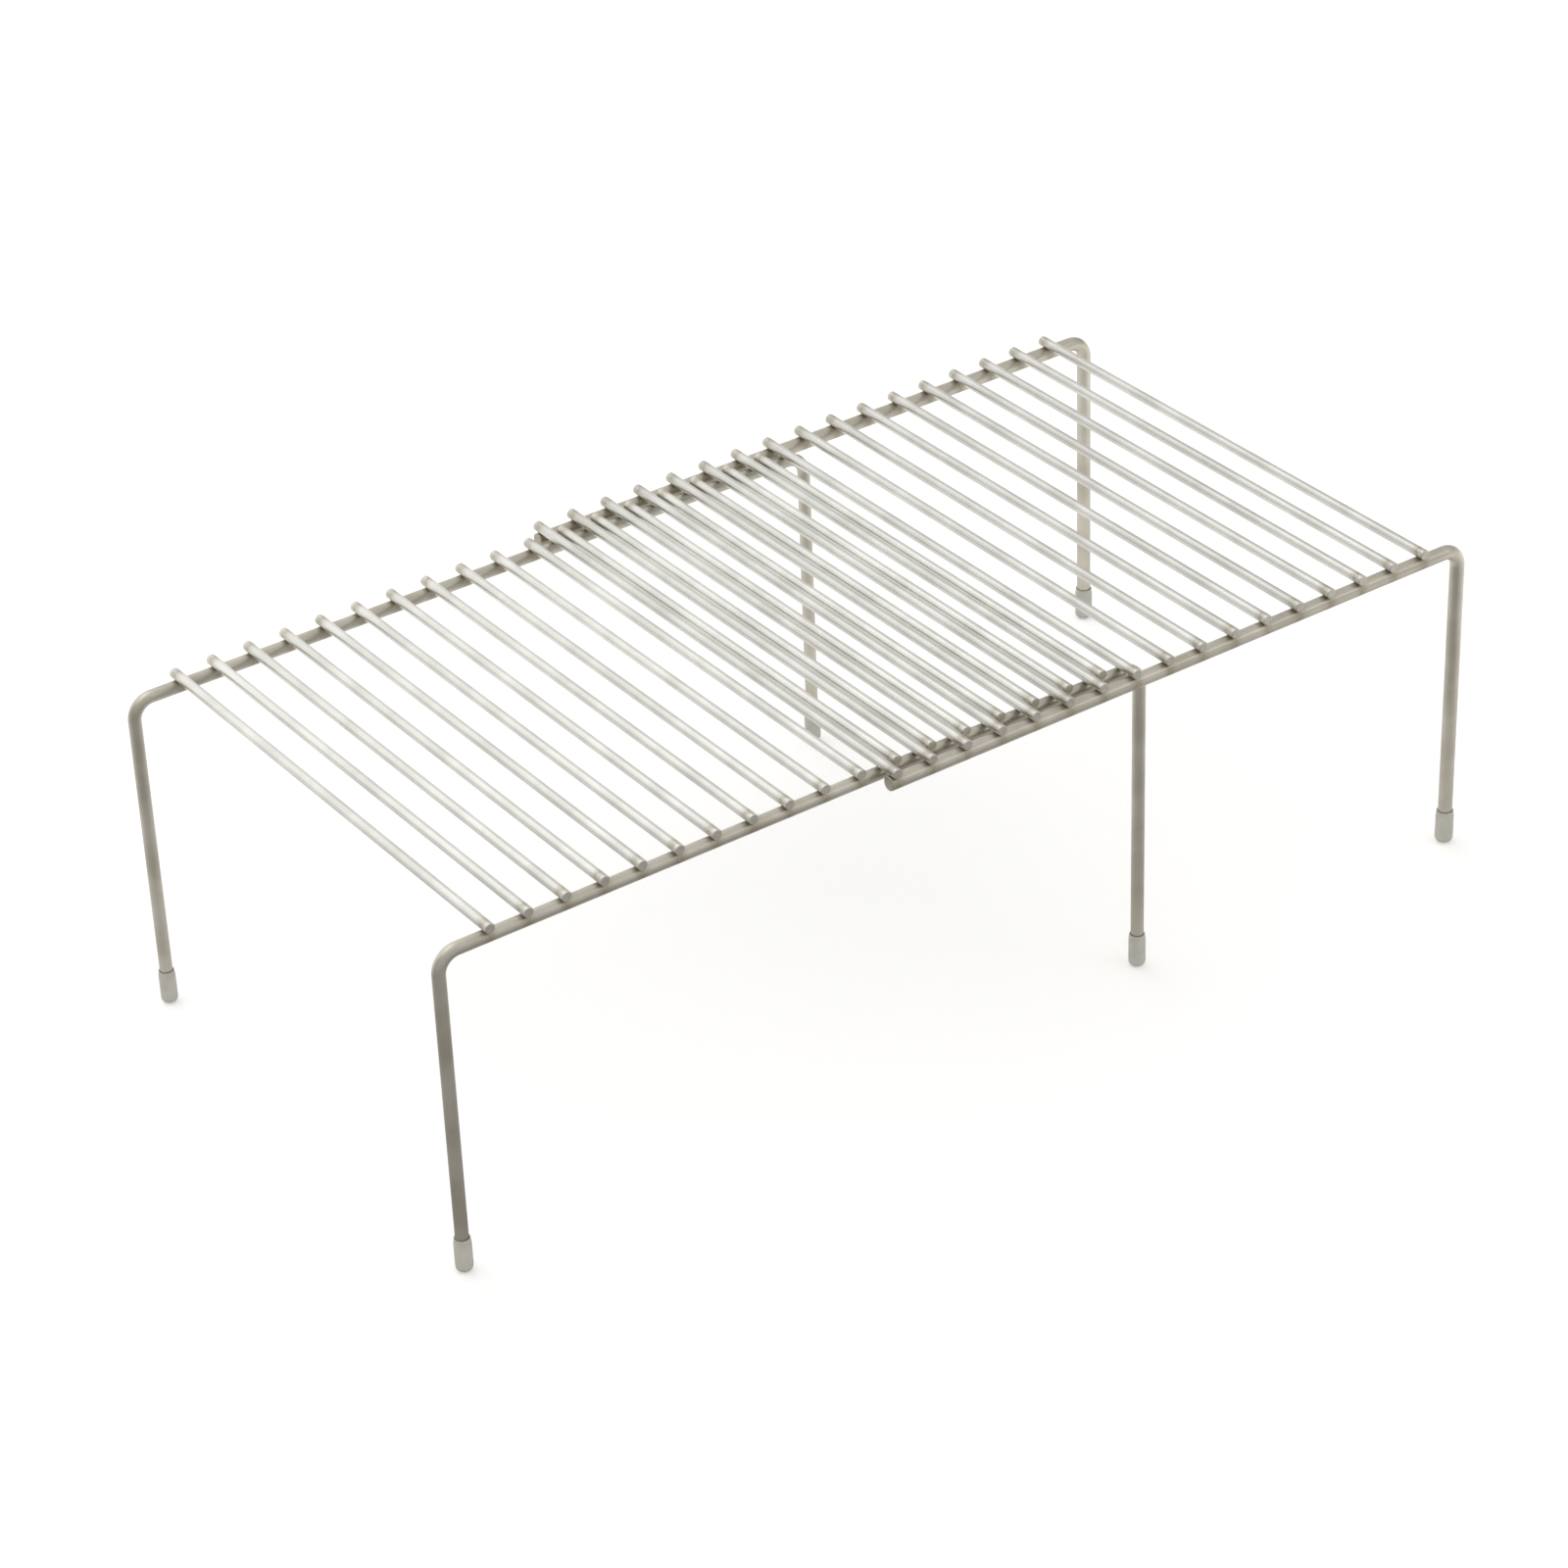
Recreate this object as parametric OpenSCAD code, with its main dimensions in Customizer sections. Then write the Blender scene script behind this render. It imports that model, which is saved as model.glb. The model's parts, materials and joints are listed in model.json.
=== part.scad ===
// Extendable wire shelf riser: an inner section on four legs and an outer section on two legs.
// The outer section's rails run just outside the inner ones, and its cross wires lie between
// the inner wires at the same level, resting over the inner rails.
// +X runs along the shelf towards the outer section's legs, -Y is the front, +Z is up.
// The origin is on the floor, at the middle of the shelf's length and depth.

/* [Rods] */
// Diameter of the rods that make the inner section's rails and legs
inner_rod_d = 5.5; // [4.6:0.1:5.8]
// Diameter of the rods that make the outer section's rails and legs
outer_rod_d = 6.2; // [4.6:0.1:6.4]
// Radius of the corner bends, to the rod's centre line
bend_r = 8.5; // [8:0.5:14]
// Chamfer on the cut ends of the rods
rod_chamfer = 0.5; // [0.2:0.1:0.8]
// Height of the inner rails' centre lines above the floor
rail_z = 145; // [110:0.5:190]

/* [Cross wires] */
// Diameter of the cross wires
wire_d = 4.4; // [3:0.1:4.6]
// Distance from one cross wire to the next
wire_pitch = 17; // [16:0.5:22]
// Length of wire past a rail's centre line
wire_overhang = 3.3; // [3:0.1:3.8]
// Chamfer on the cut ends of the wires
wire_chamfer = 0.4; // [0.2:0.1:0.6]
// Depth that each wire sinks into a rail at its weld
weld_sink = 0.2; // [0.1:0.05:0.3]
// Number of cross wires on the inner section
inner_wires = 18; // [14:1:22]
// Number of cross wires on the outer section
outer_wires = 17; // [14:1:22]

/* [Sections] */
// Distance between the inner rails' centre lines
inner_depth = 230; // [180:1:300]
// Distance from an inner rail to the outer rail beside it, between centre lines
rail_gap = 9; // [8.8:0.1:12]
// Distance from the last wire of a section to its leg
end_margin = 21.5; // [18:0.5:40]
// Length of outer rail past the outer section's first wire
free_end = 2.5; // [2.5:0.5:10]
// Number of outer wires that lie between inner wires
shared_wires = 7; // [3:1:10]
// Distance from an outer wire to the inner wire on its right
wire_offset = 6.2; // [5:0.1:9]
// Clearance of the outer wires over the inner rails
seat_gap = 0.25; // [0.2:0.05:0.4]

/* [Foot caps] */
// Height of a foot cap
cap_h = 15.5; // [12:0.5:22]
// Thickness of a foot cap's wall, with its clearance on the rod
cap_wall = 0.85; // [0.8:0.05:1.2]
// Thickness of the wall at a foot cap's mouth, with the same clearance
cap_lip = 0.55; // [0.4:0.05:0.75]
// Thickness of a foot cap's sole
cap_sole = 2; // [1.5:0.1:3]
// Radius of the rounded edge round the sole
cap_edge_r = 2.4; // [0.5:0.1:3]
// Clearance between a rod and its foot cap's bore, on each side
cap_fit = 0.05; // [0.03:0.01:0.1]

/* [Hidden] */
$fn = 48;
wire_r = wire_d / 2;
cap_taper_h = cap_h / 5;
inner_y = inner_depth / 2;
outer_y = inner_y + rail_gap;
outer_rail_z = rail_z + (inner_rod_d - outer_rod_d) / 2 + weld_sink + seat_gap;
// Places along the shelf, counted from the inner section's left legs
inner_span = (inner_wires - 1) * wire_pitch + 2 * end_margin;
outer_first = end_margin + (inner_wires - shared_wires) * wire_pitch - wire_offset;
outer_leg = outer_first + (outer_wires - 1) * wire_pitch + end_margin;
// The same places along X, with the origin at the middle of the whole length
left_x = -(outer_leg + (outer_rod_d - inner_rod_d) / 2) / 2;
inner_leg_x = left_x + inner_span;
outer_leg_x = left_x + outer_leg;
inner_wire_x = left_x + end_margin;
outer_wire_x = left_x + outer_first;
outer_end_x = outer_wire_x - free_end;
function numbered(name, i) = str(name, i < 10 ? "_0" : "_", i);

// A straight rod along +X from the origin, with its far end chamfered
module cut_rod(rod_d, length) {
    rotate([0, 90, 0]) cylinder(d = rod_d, h = length - rod_chamfer);
    translate([length - rod_chamfer, 0, 0]) rotate([0, 90, 0])
        cylinder(d1 = rod_d, d2 = rod_d - 2 * rod_chamfer, h = rod_chamfer);
}

// A leg that stands below the end of a rail: the bend starts at the origin and turns down
// towards +X, and the leg's cut end is at the given depth below the rail
module bent_leg(rod_d, depth) {
    translate([0, 0, -bend_r]) rotate([90, 0, 0]) rotate_extrude(angle = 90)
        translate([bend_r, 0]) circle(d = rod_d);
    translate([bend_r, 0, -bend_r]) rotate([0, 90, 0]) cut_rod(rod_d, depth - bend_r);
}

// One inner rail: a rod bent down at both ends
module inner_rail(y) {
    color("#b9b3a3") translate([0, y, rail_z]) {
        translate([left_x + bend_r, 0, 0]) rotate([0, 90, 0])
            cylinder(d = inner_rod_d, h = inner_span - 2 * bend_r);
        translate([left_x + bend_r, 0, 0]) mirror([1, 0, 0])
            bent_leg(inner_rod_d, rail_z - cap_sole);
        translate([inner_leg_x - bend_r, 0, 0]) bent_leg(inner_rod_d, rail_z - cap_sole);
    }
}

// One outer rail: a rod bent down at its right end, with its left end cut square
module outer_rail(y) {
    color("#b9b3a3") translate([0, y, outer_rail_z]) {
        translate([outer_leg_x - bend_r, 0, 0]) mirror([1, 0, 0])
            cut_rod(outer_rod_d, outer_leg_x - bend_r - outer_end_x);
        translate([outer_leg_x - bend_r, 0, 0]) bent_leg(outer_rod_d, outer_rail_z - cap_sole);
    }
}

// A cross wire over two rails at y and -y, seated on them by its welds
module cross_wire(x, y, z, rod_d) {
    half = y + wire_overhang;
    wire_lift = rod_d / 2 + wire_r - weld_sink;
    color("#d3cec1") translate([x, 0, z]) difference() {
        translate([0, 0, wire_lift]) rotate([90, 0, 0]) rotate_extrude() polygon([
            [0, -half],
            [wire_r - wire_chamfer, -half],
            [wire_r, wire_chamfer - half],
            [wire_r, half - wire_chamfer],
            [wire_r - wire_chamfer, half],
            [0, half]
        ]);
        for (side = [-1, 1])
            translate([-wire_d, side * y, 0]) rotate([0, 90, 0]) cylinder(d = rod_d, h = 2 * wire_d);
    }
}

// A soft cap pushed onto a leg, with a rounded sole and a tapered mouth
module foot_cap(x, y, rod_d) {
    cap_r = rod_d / 2 + cap_wall;
    bore_r = rod_d / 2 + cap_fit;
    edge = [for (a = [0 : 15 : 90]) [cap_r - cap_edge_r * (1 - sin(a)), cap_edge_r * (1 - cos(a))]];
    color("#d8d5cb") translate([x, y, 0]) rotate_extrude() polygon(concat(
        [[0, 0]],
        edge,
        [[cap_r, cap_h - cap_taper_h], [rod_d / 2 + cap_lip, cap_h]],
        [[bore_r, cap_h], [bore_r, cap_sole], [0, cap_sole]]
    ));
}

inner_rail(-inner_y);  // inner_front_rail
inner_rail(inner_y);  // inner_back_rail
for (i = [1 : inner_wires])
    cross_wire(inner_wire_x + (i - 1) * wire_pitch, inner_y, rail_z, inner_rod_d);
foot_cap(left_x, -inner_y, inner_rod_d);  // inner_front_left_cap
foot_cap(left_x, inner_y, inner_rod_d);  // inner_back_left_cap
foot_cap(inner_leg_x, -inner_y, inner_rod_d);  // inner_front_right_cap
foot_cap(inner_leg_x, inner_y, inner_rod_d);  // inner_back_right_cap

outer_rail(-outer_y);  // outer_front_rail
outer_rail(outer_y);  // outer_back_rail
for (i = [1 : outer_wires])
    cross_wire(outer_wire_x + (i - 1) * wire_pitch, outer_y, outer_rail_z, outer_rod_d);
foot_cap(outer_leg_x, -outer_y, outer_rod_d);  // outer_front_cap
foot_cap(outer_leg_x, outer_y, outer_rod_d);  // outer_back_cap
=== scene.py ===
import json
import math

import bmesh
import bpy
from mathutils import Matrix, Vector, noise


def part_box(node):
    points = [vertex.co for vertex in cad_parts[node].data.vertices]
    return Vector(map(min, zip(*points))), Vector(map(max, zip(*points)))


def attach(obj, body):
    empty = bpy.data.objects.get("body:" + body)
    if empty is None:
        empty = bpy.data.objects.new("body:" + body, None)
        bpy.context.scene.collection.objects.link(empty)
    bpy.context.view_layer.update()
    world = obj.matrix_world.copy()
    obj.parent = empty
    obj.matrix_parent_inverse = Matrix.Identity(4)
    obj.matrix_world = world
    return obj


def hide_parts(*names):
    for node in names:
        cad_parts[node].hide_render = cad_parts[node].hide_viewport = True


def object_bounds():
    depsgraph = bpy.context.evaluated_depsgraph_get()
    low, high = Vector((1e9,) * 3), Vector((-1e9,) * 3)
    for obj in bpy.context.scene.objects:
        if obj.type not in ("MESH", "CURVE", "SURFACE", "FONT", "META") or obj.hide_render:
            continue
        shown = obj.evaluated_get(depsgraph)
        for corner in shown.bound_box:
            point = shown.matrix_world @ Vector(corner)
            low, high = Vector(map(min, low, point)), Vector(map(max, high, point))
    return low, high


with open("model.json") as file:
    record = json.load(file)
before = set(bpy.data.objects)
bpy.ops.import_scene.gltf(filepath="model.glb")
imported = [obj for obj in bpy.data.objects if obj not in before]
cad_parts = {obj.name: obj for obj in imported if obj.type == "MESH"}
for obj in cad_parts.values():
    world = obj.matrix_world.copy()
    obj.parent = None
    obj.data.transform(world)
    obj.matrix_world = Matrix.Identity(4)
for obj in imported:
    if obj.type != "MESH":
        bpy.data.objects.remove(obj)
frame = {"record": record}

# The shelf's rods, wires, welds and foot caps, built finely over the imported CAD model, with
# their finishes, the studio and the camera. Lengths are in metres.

cad_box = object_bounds()
MM = 0.001

# ---------------------------------------------------------------- the CAD model's sections
SECTIONS = {"inner": "inner_section", "outer": "outer_section"}
record = frame["record"]
slot_of = {part["node"]: part["material_slot"] for part in record["subparts"]}
body_of = {node: body for body, nodes in record["behaviour"]["bodies"].items() for node in nodes}


def nodes_like(start, end=""):
    return [name for name in sorted(slot_of) if name.startswith(start) and name.endswith(end)]


# ---------------------------------------------------------------- materials
class Shader:
    """A new material's node tree, with short ways to add and link nodes."""

    def __init__(self, name):
        self.material = bpy.data.materials.new(name)
        self.material.use_nodes = True
        self.tree = self.material.node_tree
        self.tree.nodes.clear()
        self.surface = self.add("ShaderNodeBsdfPrincipled")
        self.output = self.add("ShaderNodeOutputMaterial")
        self.link(self.surface, "BSDF", self.output, "Surface")

    def add(self, kind, **inputs):
        made = self.tree.nodes.new(kind)
        for key, value in inputs.items():
            made.inputs[key.replace("_", " ")].default_value = value
        return made

    def link(self, source, out, target, into):
        self.tree.links.new(source.outputs[out], target.inputs[into])

    def attribute(self, name):
        made = self.add("ShaderNodeAttribute")
        made.attribute_name = name
        return made

    def scaled(self, source, out, scale):
        made = self.add("ShaderNodeVectorMath")
        made.operation = "MULTIPLY"
        made.inputs[1].default_value = scale
        self.link(source, out, made, 0)
        return made

    def noise(self, coordinates, out, scale, detail, roughness=0.5):
        made = self.add("ShaderNodeTexNoise", Scale=scale, Detail=detail, Roughness=roughness)
        self.link(coordinates, out, made, "Vector")
        return made

    def spread(self, source, out, low, high, to_low, to_high):
        made = self.add("ShaderNodeMapRange")
        for socket, value in zip((1, 2, 3, 4), (low, high, to_low, to_high)):
            made.inputs[socket].default_value = value
        self.link(source, out, made, 0)
        return made

    def ramp(self, source, out, stops):
        made = self.add("ShaderNodeValToRGB")
        while len(made.color_ramp.elements) < len(stops):
            made.color_ramp.elements.new(0.5)
        for element, (place, colour) in zip(made.color_ramp.elements, stops):
            element.position = place
            element.color = (*colour, 1)
        self.link(source, out, made, "Fac")
        return made

    def math(self, operation, first, second):
        made = self.add("ShaderNodeMath")
        made.operation = operation
        for socket, value in enumerate((first, second)):
            if isinstance(value, tuple):
                self.link(value[0], value[1], made, socket)
            else:
                made.inputs[socket].default_value = value
        return made

    def mix(self, factor, first, second):
        made = self.add("ShaderNodeMix")
        made.data_type = "RGBA"
        self.tree.links.new(factor[0].outputs[factor[1]], made.inputs[0])
        for socket, value in ((6, first), (7, second)):
            if isinstance(value[0], float):
                made.inputs[socket].default_value = (*value, 1)
            else:
                self.tree.links.new(value[0].outputs[value[1]], made.inputs[socket])
        return made


# Noise scales, in features per metre. The first triple runs along and across a rod, the
# second along the object's axes.
DRAWN_LINES = (40, 3200, 3200)
SCRATCHES = (260, 4200, 600)
TONE_PATCHES, STAIN_BREAKUP, PINHOLES = 55, 900, 2600
CLOUDS, SCUFFS = 260, 1900
# How much the drawn lines, stains and rubbing change a plate's tone and roughness
LINE_TONE, LINE_ROUGHNESS = 0.35, 0.18
STAIN_ROUGHNESS, RUB_ROUGHNESS = 0.15, -0.12
LINE_DEPTH, SCUFF_DEPTH = 0.02 * MM, 0.03 * MM
# How high the painted contact shade at a cap's sole reaches
SOLE_SHADE_HEIGHT = 2.6 * MM
BARE_NICKEL = (0.86, 0.84, 0.79)
# The floor's own glow, and the painted reflection that the metal sees on it: a glow from
# the first to the second value of the pair below as y + MIRRORED_SLANT x crosses
# MIRRORED_REACH, plus a painted bright patch where x + the patch's slant times y is past the
# patch's edge
FLOOR_LIFT = 0.33
FLOOR_PAINTED_REFLECTION, PATCH_PAINTED_REFLECTION = (0.40, 1.0), 0.4
MIRRORED_SLANT, MIRRORED_REACH = 0.5, (-0.28, 0.2)
PATCH_SLANT, PATCH_EDGE = -0.7, (0.38, 0.62)


def satin_plate(name, light, dark, stained_and_shaded, roughness):
    """Satin nickel plate on drawn rod: fine lines along the rod, soft patches of tone, dark
    pinholes, warm heat staining round the welds with painted shade at the crossings and cut
    ends, and scratches on top where dishes slide."""
    s = Shader(name)
    rod = s.attribute("rod")
    lines = s.noise(s.scaled(rod, "Vector", DRAWN_LINES), "Vector", 1, 4, 0.6)
    place = s.add("ShaderNodeTexCoord")
    patches = s.noise(place, "Object", TONE_PATCHES, 3)
    tone = s.math("MULTIPLY_ADD", (lines, "Fac"), LINE_TONE)
    s.link(patches, "Fac", tone, 2)
    plate = s.ramp(tone, "Value", ((0.5, dark), (0.86, light)))
    # Heat staining round the welds, with painted shade at the crossings and on cut ends, broken
    # up by noise
    heat_and_shade = s.attribute("stain_and_shade")
    stain_breakup = s.noise(place, "Object", STAIN_BREAKUP, 3)
    stain_and_shade_mask = s.math("MULTIPLY", (heat_and_shade, "Fac"), (s.spread(stain_breakup, "Fac", 0.25, 0.75, 0.35, 1), 0))
    pits = s.spread(s.noise(place, "Object", PINHOLES, 2), "Fac", 0.70, 0.78, 0, 0.6)
    spoiled_and_shaded = s.math("MAXIMUM", (stain_and_shade_mask, "Value"), (pits, 0))
    facing = s.add("ShaderNodeSeparateXYZ")
    s.link(s.add("ShaderNodeNewGeometry"), "Normal", facing, "Vector")
    on_top = s.spread(facing, "Z", 0.8, 1, 0, 1)
    scratches = s.noise(s.scaled(place, "Object", SCRATCHES), "Vector", 1, 2, 0.7)
    rubbed = s.math("MULTIPLY", (on_top, 0), (s.spread(scratches, "Fac", 0.56, 0.72, 0, 0.5), 0))
    bright = s.mix((rubbed, "Value"), (plate, "Color"), BARE_NICKEL)
    s.link(s.mix((spoiled_and_shaded, "Value"), (bright, 2), stained_and_shaded), 2, s.surface, "Base Color")
    rough = s.math("MULTIPLY_ADD", (lines, "Fac"), LINE_ROUGHNESS)
    rough.inputs[2].default_value = roughness - LINE_ROUGHNESS / 2
    more = s.math("MULTIPLY_ADD", (spoiled_and_shaded, "Value"), STAIN_ROUGHNESS)
    s.link(rough, "Value", more, 2)
    less = s.math("MULTIPLY_ADD", (rubbed, "Value"), RUB_ROUGHNESS)
    s.link(more, "Value", less, 2)
    s.link(less, "Value", s.surface, "Roughness")
    bump = s.add("ShaderNodeBump", Strength=0.5, Distance=LINE_DEPTH)
    s.link(lines, "Fac", bump, "Height")
    s.link(bump, "Normal", s.surface, "Normal")
    s.surface.inputs["Metallic"].default_value = 1
    return s.material


def soft_vinyl(name, light, dark, sole_shade, roughness):
    """Milky vinyl that lets the rod's end show through, with faint cloudiness, scuffs and
    painted contact shade that darkens the sole."""
    s = Shader(name)
    place = s.add("ShaderNodeTexCoord")
    cloud = s.noise(place, "Object", CLOUDS, 3)
    tone = s.ramp(cloud, "Fac", ((0.3, dark), (0.7, light)))
    scuffs = s.noise(s.scaled(place, "Object", (1, 1, 0.25)), "Vector", SCUFFS, 4, 0.6)
    split = s.add("ShaderNodeSeparateXYZ")
    s.link(place, "Object", split, "Vector")
    # Painted contact shade, fading up from the sole and broken up by the scuffs
    low = s.spread(split, "Z", 0, SOLE_SHADE_HEIGHT, 1, 0)
    sole_shaded = s.math("MULTIPLY", (low, 0), (s.spread(scuffs, "Fac", 0.3, 0.7, 0.5, 1), 0))
    s.link(s.mix((sole_shaded, "Value"), (tone, "Color"), sole_shade), 2, s.surface, "Base Color")
    s.link(s.spread(scuffs, "Fac", 0.3, 0.7, roughness - 0.06, roughness + 0.1), 0,
           s.surface, "Roughness")
    bump = s.add("ShaderNodeBump", Strength=0.2, Distance=SCUFF_DEPTH)
    s.link(scuffs, "Fac", bump, "Height")
    s.link(bump, "Normal", s.surface, "Normal")
    s.surface.inputs["Transmission Weight"].default_value = 0.35
    s.surface.inputs["IOR"].default_value = 1.45
    return s.material


def matt_floor(name, light, dark):
    """A white studio floor with an even glow. The metal's reflections see a painted reflection
    on it
    instead: a glow that is dim at the front and bright behind, and a brighter painted patch at
    the front right."""
    s = Shader(name)
    place = s.add("ShaderNodeTexCoord")
    cloud = s.noise(place, "Object", 3, 0)
    paint = s.add("ShaderNodeBsdfDiffuse")
    s.link(s.ramp(cloud, "Fac", ((0.3, dark), (0.7, light))), "Color", paint, "Color")
    lifted = s.add("ShaderNodeAddShader")
    s.link(paint, "BSDF", lifted, 0)
    s.link(s.add("ShaderNodeEmission", Strength=FLOOR_LIFT), "Emission", lifted, 1)
    split = s.add("ShaderNodeSeparateXYZ")
    s.link(place, "Object", split, "Vector")
    along = s.math("MULTIPLY_ADD", (split, "X"), MIRRORED_SLANT)
    s.link(split, "Y", along, 2)
    fall = s.spread(along, "Value", *MIRRORED_REACH, *FLOOR_PAINTED_REFLECTION)
    aside = s.math("MULTIPLY_ADD", (split, "Y"), PATCH_SLANT)
    s.link(split, "X", aside, 2)
    edge = s.spread(aside, "Value", *PATCH_EDGE, 0, PATCH_PAINTED_REFLECTION)
    for softened in (fall, edge):
        softened.interpolation_type = "SMOOTHSTEP"
    # Painted reflection: the glow that glossy rays see on the floor in place of its white
    painted_reflection = s.add("ShaderNodeEmission", Color=(1, 0.985, 0.95, 1))
    s.link(s.math("ADD", (fall, 0), (edge, 0)), "Value", painted_reflection, "Strength")
    ray = s.add("ShaderNodeLightPath")
    either = s.add("ShaderNodeMixShader")
    s.link(ray, "Is Glossy Ray", either, 0)
    s.link(lifted, "Shader", either, 1)
    s.link(painted_reflection, "Emission", either, 2)
    s.link(either, "Shader", s.output, "Surface")
    s.tree.nodes.remove(s.surface)
    return s.material


# Each plate's light and dark colours, its third colour for heat staining, pinholes and painted
# shade at crossings and cut ends, and its roughness
rod_plate = satin_plate("rod_satin_nickel", (0.64, 0.61, 0.54), (0.50, 0.47, 0.40),
                        (0.38, 0.335, 0.25), 0.4)
wire_plates = {
    "inner": satin_plate("inner_wire_satin_nickel", (0.84, 0.84, 0.81), (0.695, 0.69, 0.66),
                         (0.46, 0.42, 0.33), 0.34),
    "outer": satin_plate("outer_wire_satin_nickel", (0.77, 0.77, 0.745), (0.635, 0.63, 0.60),
                         (0.42, 0.38, 0.30), 0.34),
}
weld_plate = satin_plate("weld_satin_nickel", (0.36, 0.32, 0.25), (0.24, 0.205, 0.15),
                         (0.17, 0.14, 0.095), 0.5)
# The vinyl's third colour is the painted contact shade at the sole
cap_vinyl = soft_vinyl("cap_milky_vinyl", (0.74, 0.725, 0.65), (0.65, 0.635, 0.56),
                       (0.30, 0.29, 0.27), 0.35)

# ---------------------------------------------------------------- swept rods
ROD_SIDES, WIRE_SIDES = 40, 32
ROD_END_ROUND, WIRE_END_ROUND = 0.5 * MM, 0.4 * MM
END_STEPS = 5
END_RING = 0.9
END_MARGIN = 1.5
CUT_RIM = 0.6
CLOSEST_RINGS = 0.05 * MM
BEND_RADIUS = 8.5 * MM
BEND_STEPS = 24
# How far the heat staining and painted shade reach round each crossing
STAIN_AND_SHADE_REACH = 2.6 * MM
# How strongly cut ends are painted darker: bare steel at the cut, plus painted shade on the end
# faces
CUT_STAIN_AND_SHADE = 0.7
RAIL_GRAIN, WIRE_GRAIN = 1.3, 0.71
STAIN_AND_SHADE_STEPS = (0, 0.8 * MM, 1.7 * MM, 2.8 * MM, 4.2 * MM, 6 * MM)


class Route:
    """A rod's centre line, made of straight runs and bends in one plane."""

    def __init__(self, start, heading, side):
        self.point, self.heading, self.side = Vector(start), Vector(heading), Vector(side)
        self.runs = []
        self.length = 0

    def straight(self, length):
        self.runs.append((self.length, length, self.point.copy(), self.heading.copy(), False))
        self.point += self.heading * length
        self.length += length
        return self

    def bend(self):
        """A quarter turn about the side vector."""
        length = BEND_RADIUS * math.pi / 2
        self.runs.append((self.length, length, self.point.copy(), self.heading.copy(), True))
        inward = self.side.cross(self.heading)
        self.point += (self.heading + inward) * BEND_RADIUS
        self.heading = inward
        self.length += length
        return self

    def at(self, s):
        """The point and the heading at a distance along the route."""
        for start, length, point, heading, bent in self.runs:
            if s <= start + length + 1e-9:
                break
        along = s - start
        if not bent:
            return point + heading * along, heading
        angle = along / BEND_RADIUS
        inward = self.side.cross(heading)
        centre = point + inward * BEND_RADIUS
        place = centre + (heading * math.sin(angle) - inward * math.cos(angle)) * BEND_RADIUS
        return place, heading * math.cos(angle) + inward * math.sin(angle)

    def stations(self):
        """The distances along the route that need a ring: both ends of each straight run,
        and even steps round each bend."""
        marks = []
        for start, length, _, _, bent in self.runs:
            steps = BEND_STEPS if bent else 1
            marks += [start + length * i / steps for i in range(steps + 1)]
        return marks


def link_piece(name, mesh, material):
    mesh.materials.append(material)
    piece = bpy.data.objects.new(name, mesh)
    bpy.context.scene.collection.objects.link(piece)
    return piece


def shell(name, points, faces):
    """A closed smooth mesh whose faces all look outwards."""
    mesh = bpy.data.meshes.new(name)
    mesh.from_pydata(points, [], faces)
    shape = bmesh.new()
    shape.from_mesh(mesh)
    bmesh.ops.recalc_face_normals(shape, faces=shape.faces)
    for face in shape.faces:
        face.smooth = True
    shape.to_mesh(mesh)
    shape.free()
    return mesh


def give(mesh, name, kind, field, values):
    mesh.attributes.new(name, kind, "POINT").data.foreach_set(field, values)


def rod_piece(name, route, radius, sides, end_round, crossings, grain, material):
    """A rod swept along a route, with its cut ends rounded. Crossings are the places along
    it where it is welded, and grain sets its texture apart from the other rods'."""
    profile = [(0, (radius - end_round) * END_RING)]
    for i in range(END_STEPS + 1):
        angle = math.pi / 2 * i / END_STEPS
        profile.append((end_round * (1 - math.cos(angle)),
                        radius - end_round * (1 - math.sin(angle))))
    low, high = end_round * END_MARGIN, route.length - end_round * END_MARGIN
    marks = route.stations()
    for crossing in crossings:
        marks += [crossing + side * step for step in STAIN_AND_SHADE_STEPS for side in (-1, 1)]
    body = sorted(mark for mark in marks if low < mark < high)
    body = [mark for i, mark in enumerate(body)
            if i == 0 or mark - body[i - 1] > CLOSEST_RINGS]
    rings = profile + [(mark, radius) for mark in body]
    rings += [(route.length - s, size) for s, size in reversed(profile)]
    points, rod, stain_and_shade = [], [], []
    for s, size in rings:
        centre, heading = route.at(min(max(s, 0), route.length))
        across = heading.cross(route.side)
        # Heat staining with painted shade, fading away from each crossing
        near = min(abs(s - crossing) for crossing in crossings)
        # Cut ends are painted darker: bare steel at the cut, plus painted shade on the end faces
        cut = CUT_STAIN_AND_SHADE if size < radius - end_round * CUT_RIM else 0
        for i in range(sides):
            angle = math.tau * i / sides
            y, z = size * math.cos(angle), size * math.sin(angle)
            points.append(centre + route.side * y + across * z)
            rod += (s + grain, y, z)
            stain_and_shade.append(max(math.exp(-(near / STAIN_AND_SHADE_REACH) ** 2), cut))
    faces = [[r * sides + i, r * sides + (i + 1) % sides,
              (r + 1) * sides + (i + 1) % sides, (r + 1) * sides + i]
             for r in range(len(rings) - 1) for i in range(sides)]
    last = (len(rings) - 1) * sides
    faces += [list(range(sides)), list(range(last, last + sides))]
    mesh = shell(name, points, faces)
    give(mesh, "rod", "FLOAT_VECTOR", "vector", rod)
    give(mesh, "stain_and_shade", "FLOAT", "value", stain_and_shade)
    return link_piece(name, mesh, material)


def stand_for(piece, node):
    """Puts a piece in the place of the CAD node that it stands for."""
    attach(piece, body_of[node])
    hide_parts(node)


def centre_x(node):
    low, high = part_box(node)
    return (low.x + high.x) / 2


wires = {section: nodes_like(section + "_wire") for section in SECTIONS}
rails = {section: nodes_like(section, "_rail") for section in SECTIONS}

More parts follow.
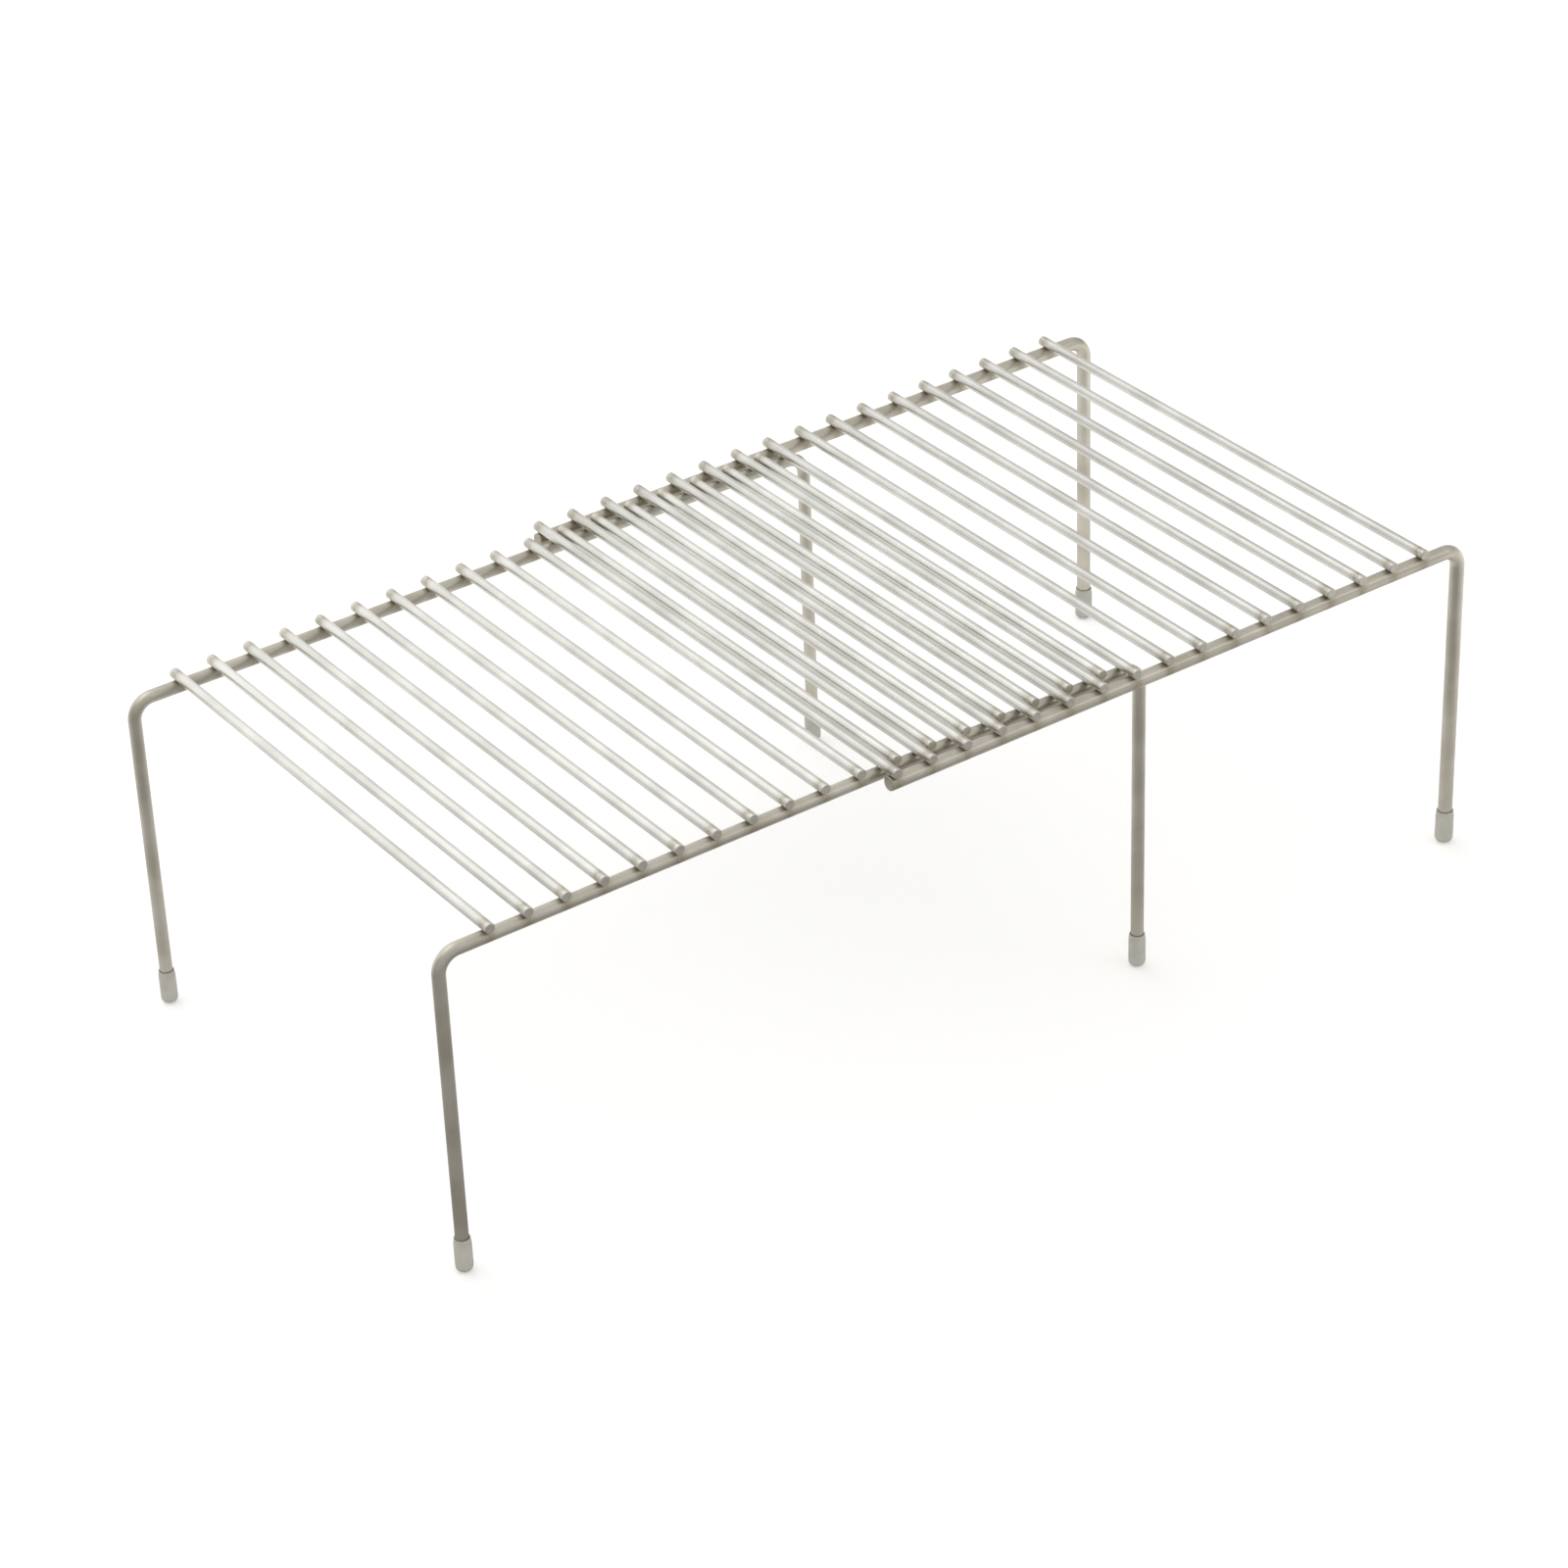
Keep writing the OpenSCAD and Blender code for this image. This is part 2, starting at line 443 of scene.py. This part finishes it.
for section in SECTIONS:
    welded = [centre_x(node) for node in wires[section]]
    for index, node in enumerate(rails[section]):
        low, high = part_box(node)
        radius = (high.y - low.y) / 2
        y, z = (low.y + high.y) / 2, high.z - radius
        side = Vector((0, 1, 0))
        right = high.x - radius
        if section == "inner":
            left = low.x + radius
            route = Route((left, y, low.z), (0, 0, 1), side)
            route.straight(z - low.z - BEND_RADIUS).bend()
            before = route.length - left - BEND_RADIUS
            route.straight(right - left - 2 * BEND_RADIUS)
        else:
            route = Route((low.x, y, z), (1, 0, 0), side)
            route.straight(right - BEND_RADIUS - low.x)
            before = -low.x
        route.bend().straight(z - low.z - BEND_RADIUS)
        piece = rod_piece(node + "_rod", route, radius, ROD_SIDES, ROD_END_ROUND,
                          [x + before for x in welded],
                          RAIL_GRAIN * index + len(wires[section]), rod_plate)
        stand_for(piece, node)
    seats = [(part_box(node)[0].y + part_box(node)[1].y) / 2 for node in rails[section]]
    for index, node in enumerate(wires[section]):
        low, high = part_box(node)
        radius = (high.x - low.x) / 2
        route = Route((centre_x(node), low.y, high.z - radius), (0, 1, 0), (1, 0, 0))
        route.straight(high.y - low.y)
        piece = rod_piece(node + "_rod", route, radius, WIRE_SIDES, WIRE_END_ROUND,
                          [y - low.y for y in seats], WIRE_GRAIN * index, wire_plates[section])
        stand_for(piece, node)

# ---------------------------------------------------------------- welds
WELD_SIDES, WELD_STEPS = 28, 7
WELD_SEARCH_STEPS = 24
WELD_RIM_GAP = 0.42 * MM
WELD_WAIST = 0.72
WELD_BURY = 0.12 * MM
WELD_LUMPS, WELD_UNEVENNESS = 1.7, 0.11
# The welds' share of the third colour: heat staining with painted shade in the crease under each
# wire
WELD_STAIN_AND_SHADE = 0.6
SEED_STEP = 0.37


def drop(radius, offset):
    """How far a round bar's surface falls away at an offset from its crown."""
    return radius - math.sqrt(max(radius * radius - offset * offset, 0))


def weld_reach(angle, wire_radius, rail_radius, sink):
    """The distance from a weld's middle at which the gap between the bars is the rim's."""
    low, high = 0, wire_radius * 0.99
    for _ in range(WELD_SEARCH_STEPS):
        reach = (low + high) / 2
        gap = drop(wire_radius, reach * math.cos(angle))
        gap += drop(rail_radius, reach * math.sin(angle)) - sink
        low, high = (reach, high) if gap < WELD_RIM_GAP else (low, reach)
    return low


def weld_shell(points, faces, x, y, seat_z, wire_radius, rail_radius, sink, seed):
    """Adds one squeezed-out collar of weld between a wire and the rail under it."""
    first = len(points)
    for step in range(WELD_STEPS + 1):
        t = step / WELD_STEPS
        waist = 1 - (1 - WELD_WAIST) * math.sin(math.pi * t)
        for i in range(WELD_SIDES):
            angle = math.tau * i / WELD_SIDES
            reach = weld_reach(angle, wire_radius, rail_radius, sink)
            flow = noise.noise(Vector((math.cos(angle), math.sin(angle), seed)) * WELD_LUMPS)
            reach *= waist * (1 + WELD_UNEVENNESS * flow)
            dx, dy = reach * math.cos(angle), reach * math.sin(angle)
            bottom = seat_z - drop(rail_radius, dy) - WELD_BURY
            top = seat_z - sink + drop(wire_radius, dx) + WELD_BURY
            points.append((x + dx, y + dy, bottom + (top - bottom) * t))
    for step in range(WELD_STEPS):
        for i in range(WELD_SIDES):
            a, b = first + step * WELD_SIDES, first + (step + 1) * WELD_SIDES
            j = (i + 1) % WELD_SIDES
            faces.append([a + i, a + j, b + j, b + i])
    last = first + WELD_STEPS * WELD_SIDES
    faces.append(list(range(first, first + WELD_SIDES)))
    faces.append(list(range(last, last + WELD_SIDES)))


for section, body in SECTIONS.items():
    points, faces = [], []
    for rail in rails[section]:
        rail_low, rail_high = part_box(rail)
        rail_radius = (rail_high.y - rail_low.y) / 2
        for wire in wires[section]:
            low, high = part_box(wire)
            wire_radius = (high.x - low.x) / 2
            sink = rail_high.z - (high.z - 2 * wire_radius)
            weld_shell(points, faces, centre_x(wire), rail_low.y + rail_radius, rail_high.z,
                       wire_radius, rail_radius, sink, len(points) * SEED_STEP)
    mesh = shell(section + "_welds", points, faces)
    give(mesh, "rod", "FLOAT_VECTOR", "vector", [c for point in points for c in point])
    give(mesh, "stain_and_shade", "FLOAT", "value", [WELD_STAIN_AND_SHADE] * len(points))
    piece = link_piece(section + "_welds", mesh, weld_plate)
    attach(piece, body)

# ---------------------------------------------------------------- foot caps
CAP_SIDES = 48
CAP_EDGE = 2.4 * MM
CAP_SHOULDER = 0.8
CAP_LIP = 0.25 * MM
CAP_SOLE = 2 * MM
CAP_CLEARANCE = 0.05 * MM
BORE_ROUND_HEIGHT, BORE_ROUND_WIDTH = 0.4 * MM, 0.3 * MM
ARC_STEPS, BARREL_STEPS, TAPER_STEPS = 8, 6, 8


def arc(centre_r, centre_z, size, start, end):
    """Points round part of a circle in a cap's outline, between two angles in degrees."""
    angles = [math.radians(start + (end - start) * i / ARC_STEPS)
              for i in range(ARC_STEPS + 1)]
    return [(centre_r + size * math.cos(a), centre_z + size * math.sin(a)) for a in angles]


def cap_piece(node, rod_radius):
    """A dipped vinyl cap: a sole with a full round edge, a straight barrel, and a mouth drawn
    in to a thin rolled lip round the rod."""
    low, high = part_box(node)
    outer = (high.x - low.x) / 2
    height = high.z - low.z
    bore = rod_radius + CAP_CLEARANCE
    lip = bore + 2 * CAP_LIP
    shoulder = height * CAP_SHOULDER
    outline = [(0, 0), ((outer - CAP_EDGE) / 2, 0)]
    outline += arc(outer - CAP_EDGE, CAP_EDGE, CAP_EDGE, -90, 0)
    outline += [(outer, CAP_EDGE + (shoulder - CAP_EDGE) * i / BARREL_STEPS)
                for i in range(1, BARREL_STEPS)]
    for i in range(TAPER_STEPS + 1):
        t = i / TAPER_STEPS
        ease = t * t * (3 - 2 * t)
        outline.append((outer + (lip - outer) * ease,
                        shoulder + (height - CAP_LIP - shoulder) * t))
    outline += arc(lip - CAP_LIP, height - CAP_LIP, CAP_LIP, 0, 180)[1:]
    outline += [(bore, shoulder), (bore, CAP_SOLE + BORE_ROUND_HEIGHT)]
    outline += [(bore - BORE_ROUND_WIDTH, CAP_SOLE), (0, CAP_SOLE)]
    x, y = (low.x + high.x) / 2, (low.y + high.y) / 2
    points, faces = [(x, y, low.z)], []
    for r, z in outline[1:-1]:
        points += [(x + r * math.cos(math.tau * i / CAP_SIDES),
                    y + r * math.sin(math.tau * i / CAP_SIDES), low.z + z)
                   for i in range(CAP_SIDES)]
    points.append((x, y, low.z + CAP_SOLE))
    last = 1 + (len(outline) - 3) * CAP_SIDES
    for i in range(CAP_SIDES):
        j = (i + 1) % CAP_SIDES
        faces.append([0, 1 + i, 1 + j])
        for a in range(1, last, CAP_SIDES):
            b = a + CAP_SIDES
            faces.append([a + i, a + j, b + j, b + i])
        faces.append([last + i, last + j, len(points) - 1])
    piece = link_piece(node + "_vinyl", shell(node + "_vinyl", points, faces), cap_vinyl)
    stand_for(piece, node)


for section in SECTIONS:
    rod_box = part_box(rails[section][0])
    for node in nodes_like(section, "_cap"):
        cap_piece(node, (rod_box[1].y - rod_box[0].y) / 2)

# ---------------------------------------------------------------- studio
FLOOR_SIZE = 14
FLOOR_DROP = 0.2 * MM

floor_mesh = bpy.data.meshes.new("studio_floor")
half = FLOOR_SIZE / 2
floor_z = cad_box[0].z - FLOOR_DROP
floor_mesh.from_pydata([(-half, -half, floor_z), (half, -half, floor_z),
                        (half, half, floor_z), (-half, half, floor_z)], [], [(0, 1, 2, 3)])
floor = link_piece("studio_floor", floor_mesh,
                   matt_floor("studio_white", (0.90, 0.90, 0.90), (0.88, 0.88, 0.88)))

# The tent's brightness on each side, and the parts of the direction's Y or Z over which one
# side runs into the next
TENT_FRONT, TENT_SIDE, TENT_BACK, TENT_TOP = 0.58, 0.5, 1.2, 0.8
FRONT_TO_SIDE, SIDE_TO_BACK, WALL_TO_TOP = (-0.5, 0.3), (0.6, 0.84), (0.45, 0.9)


def studio_world():
    """A white tent, brightest straight behind and dimmest at the sides. Seen directly it is
    plain white."""
    world = bpy.data.worlds.new("studio_tent")
    bpy.context.scene.world = world
    world.use_nodes = True
    tree = world.node_tree
    tree.nodes.clear()

    def add(kind, *links):
        made = tree.nodes.new(kind)
        for source, out, into in links:
            tree.links.new(source.outputs[out], made.inputs[into])
        return made

    def smooth(source, out, start, end, low, high):
        made = add("ShaderNodeMapRange", (source, out, 0))
        made.interpolation_type = "SMOOTHSTEP"
        for socket, value in zip((1, 2, 3, 4), (start, end, low, high)):
            made.inputs[socket].default_value = value
        return made

    place = add("ShaderNodeTexCoord")
    parts = add("ShaderNodeSeparateXYZ", (place, "Generated", 0))
    wall = smooth(parts, "Y", *FRONT_TO_SIDE, TENT_FRONT, TENT_SIDE)
    behind = smooth(parts, "Y", *SIDE_TO_BACK, 0, TENT_BACK - TENT_SIDE)
    both = add("ShaderNodeMath", (wall, 0, 0), (behind, 0, 1))
    overhead = smooth(parts, "Z", *WALL_TO_TOP, 0, 1)
    light = add("ShaderNodeMix", (overhead, 0, 0), (both, 0, 2))
    light.inputs[3].default_value = TENT_TOP
    tent = add("ShaderNodeBackground", (light, 0, 1))
    tent.inputs["Color"].default_value = (1, 0.99, 0.965, 1)
    white = add("ShaderNodeBackground")
    white.inputs["Color"].default_value = (1, 1, 1, 1)
    ray = add("ShaderNodeLightPath")
    shown = add("ShaderNodeMixShader", (ray, "Is Camera Ray", 0), (tent, 0, 1), (white, 0, 2))
    add("ShaderNodeOutputWorld", (shown, 0, 0))


studio_world()


def soft_box(name, place, aim, size, power, colour):
    """A rectangular lamp that the camera doesn't see."""
    light = bpy.data.lights.new(name, "AREA")
    light.shape = "RECTANGLE"
    light.size, light.size_y = size
    light.energy = power
    light.color = colour
    lamp = bpy.data.objects.new(name, light)
    lamp.location = place
    lamp.rotation_euler = (Vector(aim) - Vector(place)).to_track_quat("-Z", "Y").to_euler()
    lamp.visible_camera = False
    bpy.context.scene.collection.objects.link(lamp)


soft_box("overhead_softbox", (-0.5, 0.7, 2.0), (0, 0, 0), (2.0, 1.4), 7, (1, 0.985, 0.96))
soft_box("back_left_softbox", (-1.05, 0.9, 0.85), (-0.1, 0, 0.15), (0.6, 0.6), 0.6, (1, 1, 1))
soft_box("front_right_softbox", (0.76, -1.0, 0.8), (0.1, 0, 0.15), (0.7, 0.5), 1.0,
         (1, 0.985, 0.96))

# ---------------------------------------------------------------- camera
IMAGE_SIDE = 1600
FOCAL_PIXELS = 4734.3
SENSOR = 36
CAMERA_AZIMUTH, CAMERA_ELEVATION, CAMERA_ROLL = map(math.radians, (-34.473, 32.122, -2.286))
CAMERA_DISTANCE = 1.9333
CAMERA_AIM = Vector((-0.01195, 0, 0.07))


def place_camera():
    data = bpy.data.cameras.new("product_camera")
    data.sensor_width = SENSOR
    data.lens = SENSOR * FOCAL_PIXELS / IMAGE_SIDE
    data.clip_start, data.clip_end = 0.05, 100
    a, e, roll = CAMERA_AZIMUTH, CAMERA_ELEVATION, CAMERA_ROLL
    back = Vector((math.sin(a) * math.cos(e), -math.cos(a) * math.cos(e), math.sin(e)))
    right = Vector((math.cos(a), math.sin(a), 0))
    up = back.cross(right)
    turned = right * math.cos(roll) + up * math.sin(roll)
    axes = Matrix((turned, back.cross(turned), back)).transposed()
    camera = bpy.data.objects.new("product_camera", data)
    camera.matrix_world = Matrix.LocRotScale(CAMERA_AIM + back * CAMERA_DISTANCE,
                                             axes.to_quaternion(), None)
    bpy.context.scene.collection.objects.link(camera)
    bpy.context.scene.camera = camera


place_camera()
bpy.context.scene.view_settings.view_transform = "Standard"
